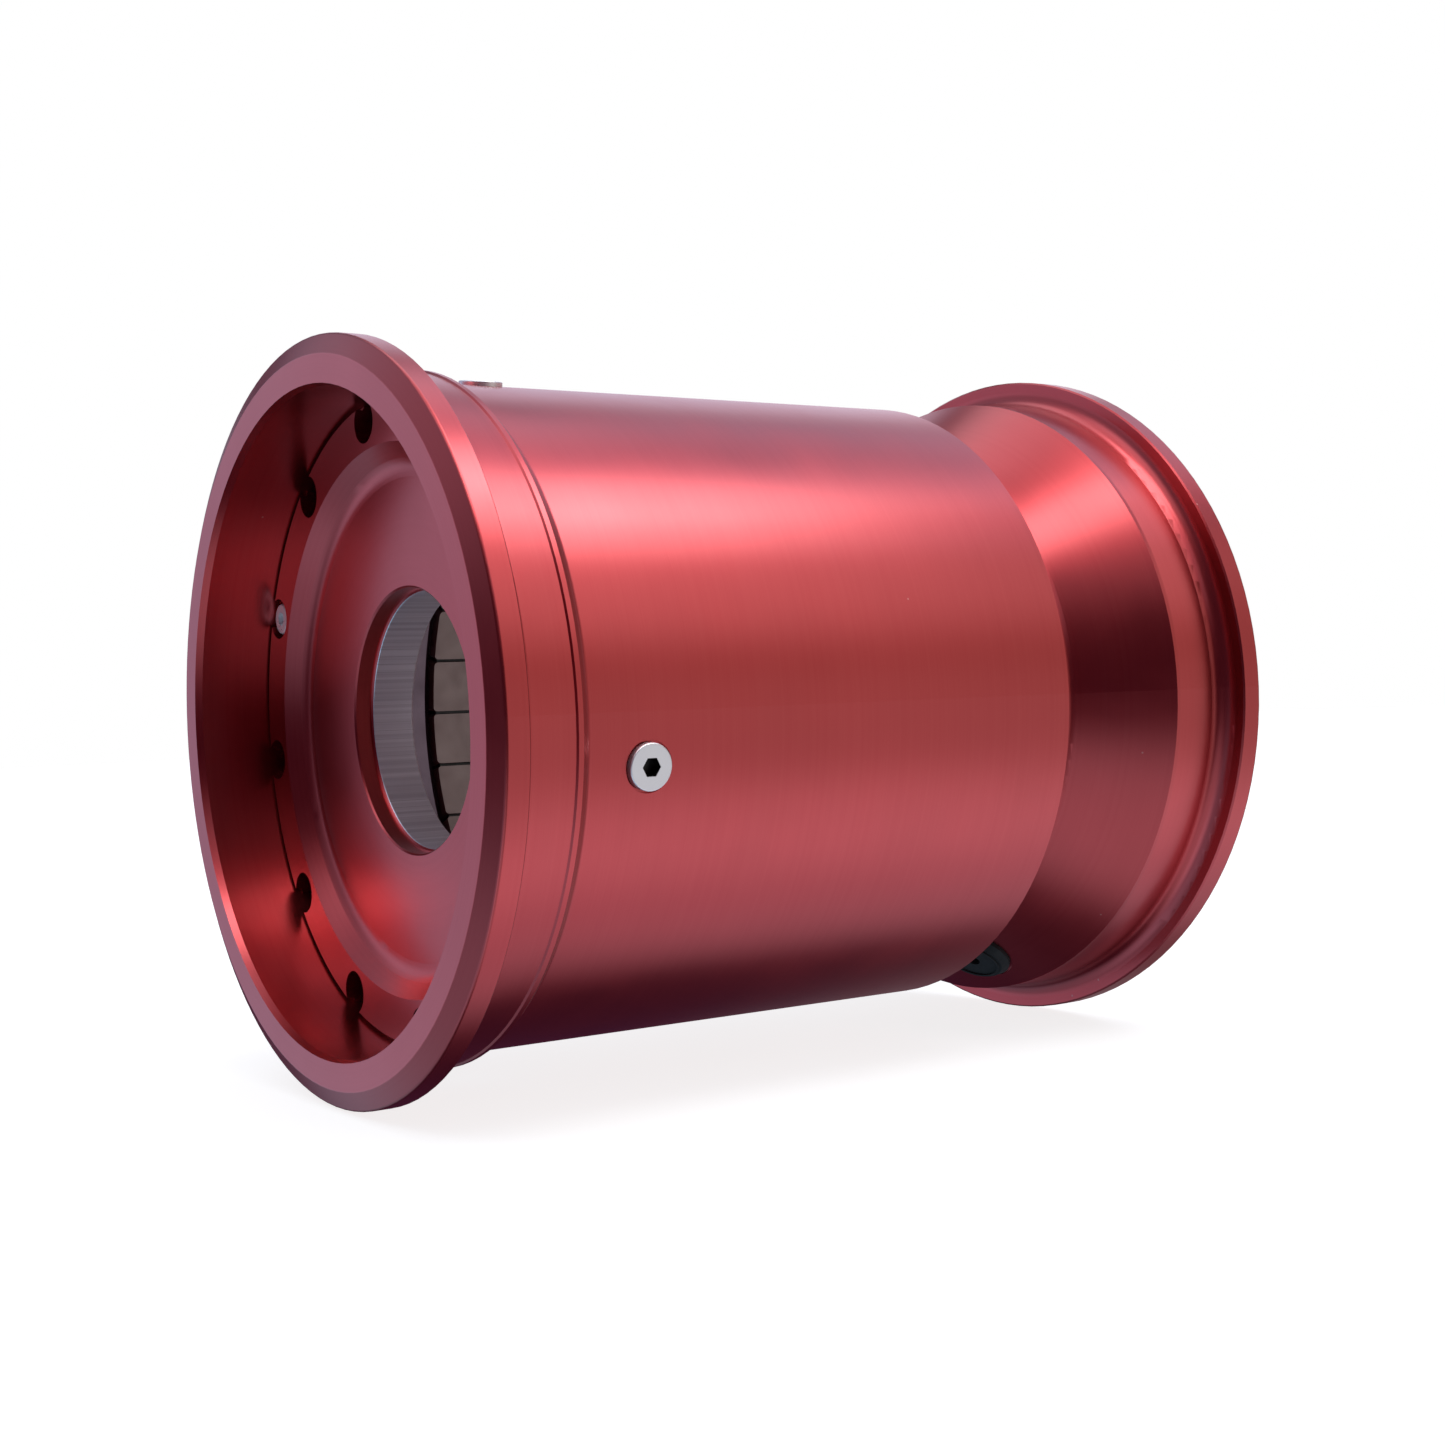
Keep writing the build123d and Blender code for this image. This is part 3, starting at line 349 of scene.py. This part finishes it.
# ---- studio --------------------------------------------------------------------------------------
FLOOR_SIZE = 8.0
FLOOR_GAP = 0.4 * MM  # between the flanges and the floor
FLOOR_GLOW = 0.82

# Soft cards round the wheel: direction, the half-angle that is fully lit and the one where the
# soft edge ends (degrees), light.
CARDS = (
    # overhead: a broad box, three bright strips in it and weaker spill round it
    ((0.28, 0.10, 0.90), 6, 22, (4.2, 4.3, 4.3)),
    ((0.38, 0.47, 0.80), 3, 13, (2.8, 3.0, 3.0)),
    ((0.20, 0.50, 0.84), 3, 12, (3.2, 3.4, 3.4)),
    ((0.34, -0.30, 0.89), 3, 13, (4.2, 4.3, 4.3)),
    ((0.20, 0.55, 0.80), 6, 22, (0.1, 0.3, 0.4)),
    ((0.00, -0.55, 0.83), 8, 26, (1.1, 1.2, 1.3)),
    ((-0.20, 0.60, 0.78), 8, 26, (0.5, 0.55, 0.75)),
    ((-0.30, 0.10, 0.95), 8, 28, (1.1, 1.2, 1.3)),
    ((0.60, 0.45, 0.65), 8, 28, (0.8, 0.8, 0.8)),
    ((0.65, -0.10, 0.70), 8, 28, (0.4, 0.45, 0.5)),
    # behind the wheel
    ((-0.78, 0.50, 0.35), 8, 28, (0.7, 0.7, 0.85)),
    ((0.80, 0.60, 0.00), 12, 36, (0.20, 0.16, 0.13)),
    ((0.75, 0.55, -0.40), 12, 36, (0.35, 0.44, 0.43)),
    ((0.75, 0.55, 0.35), 12, 32, (0.26, 0.26, 0.22)),
    ((-0.20, 1.00, 0.00), 15, 50, (0.38, 0.31, 0.30)),
    # lilac ones that the flat front faces reflect
    ((-0.87, -0.48, 0.00), 12, 34, (0.40, 0.45, 0.62)),
    ((-0.60, -0.55, 0.60), 15, 42, (0.28, 0.40, 0.50)),
    ((-0.60, -0.55, -0.60), 15, 42, (0.20, 0.38, 0.47)),
    # weak ones low down
    ((0.10, -0.80, -0.60), 12, 36, (0.26, 0.48, 0.60)),
    ((0.60, -0.40, -0.70), 12, 38, (0.50, 0.68, 0.75)),
    ((0.40, 0.50, -0.75), 12, 38, (0.60, 0.65, 0.75)),
)
ROOM = (0.04, 0.01, 0.03)  # light from where there is no card
BACKDROP = rgb(1.0, 1.0, 1.0)

LAMP_POWER = 0.026
LAMP_RADIUS = 30.0 * MM
LAMP_Y = depth_y(80.0)

CAMERA_PLACE = (0.3239, depth_y(-138.3), 0.0)
CAMERA_TURN = 0.5623  # radians from -X towards +Y
CAMERA_TILT = -0.0165  # radians above level
CAMERA_ROLL = -0.0412
CAMERA_LENS = 49.18  # millimetres
CAMERA_SENSOR = 36.0  # millimetres
CAMERA_SHIFT = (0.0639, 0.0152)
CAMERA_NEAR = 10.0 * MM


def plain_floor():
    """A pale floor under the wheel, which the metal doesn't reflect and which lights nothing."""
    bpy.ops.mesh.primitive_plane_add(size=FLOOR_SIZE, location=(0, 0, -FLANGE_R - FLOOR_GAP))
    floor = bpy.context.object
    floor.name = "floor"
    floor.visible_glossy = False
    floor.visible_diffuse = False
    floor.visible_shadow = False
    g = Finish("floor paper")
    shade = g.noise(g.position(), scale=6.0, detail=2.0)
    g.set("Base Color", g.mix(shade, rgb(0.30, 0.30, 0.31), rgb(0.33, 0.33, 0.34)))
    g.set("Roughness", 0.9)
    g.set("Specular IOR Level", 0.0)
    g.set("Emission Color", rgb(1.0, 1.0, 1.0))
    g.set("Emission Strength", FLOOR_GLOW)
    floor.data.materials.append(g.material)


def studio_world():
    """White backdrop to the camera. Everything else sees a dark room with the soft cards in it."""
    world = bpy.data.worlds.new("studio")
    bpy.context.scene.world = world
    world.use_nodes = True
    g = Graph(world.node_tree)
    direction = g.node("ShaderNodeTexCoord").outputs["Generated"]
    total = g.combine(*ROOM)
    for toward, lit_angle, edge_angle, light in CARDS:
        closeness = g.node("ShaderNodeVectorMath", operation="DOT_PRODUCT")
        g.feed(closeness.inputs, (direction, Vector(toward).normalized()))
        edge_cosine = math.cos(math.radians(edge_angle))
        lit_cosine = math.cos(math.radians(lit_angle))
        share = g.remap(closeness.outputs["Value"], edge_cosine, lit_cosine, smooth=True)
        added = g.node("ShaderNodeVectorMath", operation="MULTIPLY_ADD")
        g.feed(added.inputs, (share, light, total))
        total = added.outputs[0]
    to_camera = g.node("ShaderNodeLightPath").outputs["Is Camera Ray"]
    background = g.node("ShaderNodeBackground")
    g.link(g.mix(to_camera, total, BACKDROP), background.inputs[0])
    out = g.node("ShaderNodeOutputWorld")
    g.link(background.outputs[0], out.inputs[0])


def cavity_lamp():
    """A weak soft lamp in the motor's open middle, where the cards' light hardly reaches."""
    data = bpy.data.lights.new("cavity", "POINT")
    data.energy = LAMP_POWER
    data.shadow_soft_size = LAMP_RADIUS
    lamp = bpy.data.objects.new("cavity", data)
    lamp.location = (0.0, LAMP_Y, 0.0)
    bpy.context.collection.objects.link(lamp)


def camera():
    """The viewing angle: level with the axis, from the front right, close to the wheel."""
    level = math.cos(CAMERA_TILT)
    forward = Vector(
        (-math.cos(CAMERA_TURN) * level, math.sin(CAMERA_TURN) * level, math.sin(CAMERA_TILT))
    )
    level_right = forward.cross(Vector((0, 0, 1))).normalized()
    level_up = level_right.cross(forward)
    right = level_right * math.cos(CAMERA_ROLL) + level_up * math.sin(CAMERA_ROLL)
    up = level_up * math.cos(CAMERA_ROLL) - level_right * math.sin(CAMERA_ROLL)
    data = bpy.data.cameras.new("camera")
    data.sensor_width = CAMERA_SENSOR
    data.lens = CAMERA_LENS
    data.shift_x, data.shift_y = CAMERA_SHIFT
    data.clip_start = CAMERA_NEAR
    view = bpy.data.objects.new("camera", data)
    bpy.context.collection.objects.link(view)
    placed = Matrix((right, up, -forward)).transposed().to_4x4()
    placed.translation = CAMERA_PLACE
    view.matrix_world = placed
    bpy.context.scene.camera = view


dress_shell()
dress_seals()
dress_bearing()
dress_valve()
plain_floor()
studio_world()
cavity_lamp()
camera()
bpy.context.scene.view_settings.view_transform = "Standard"
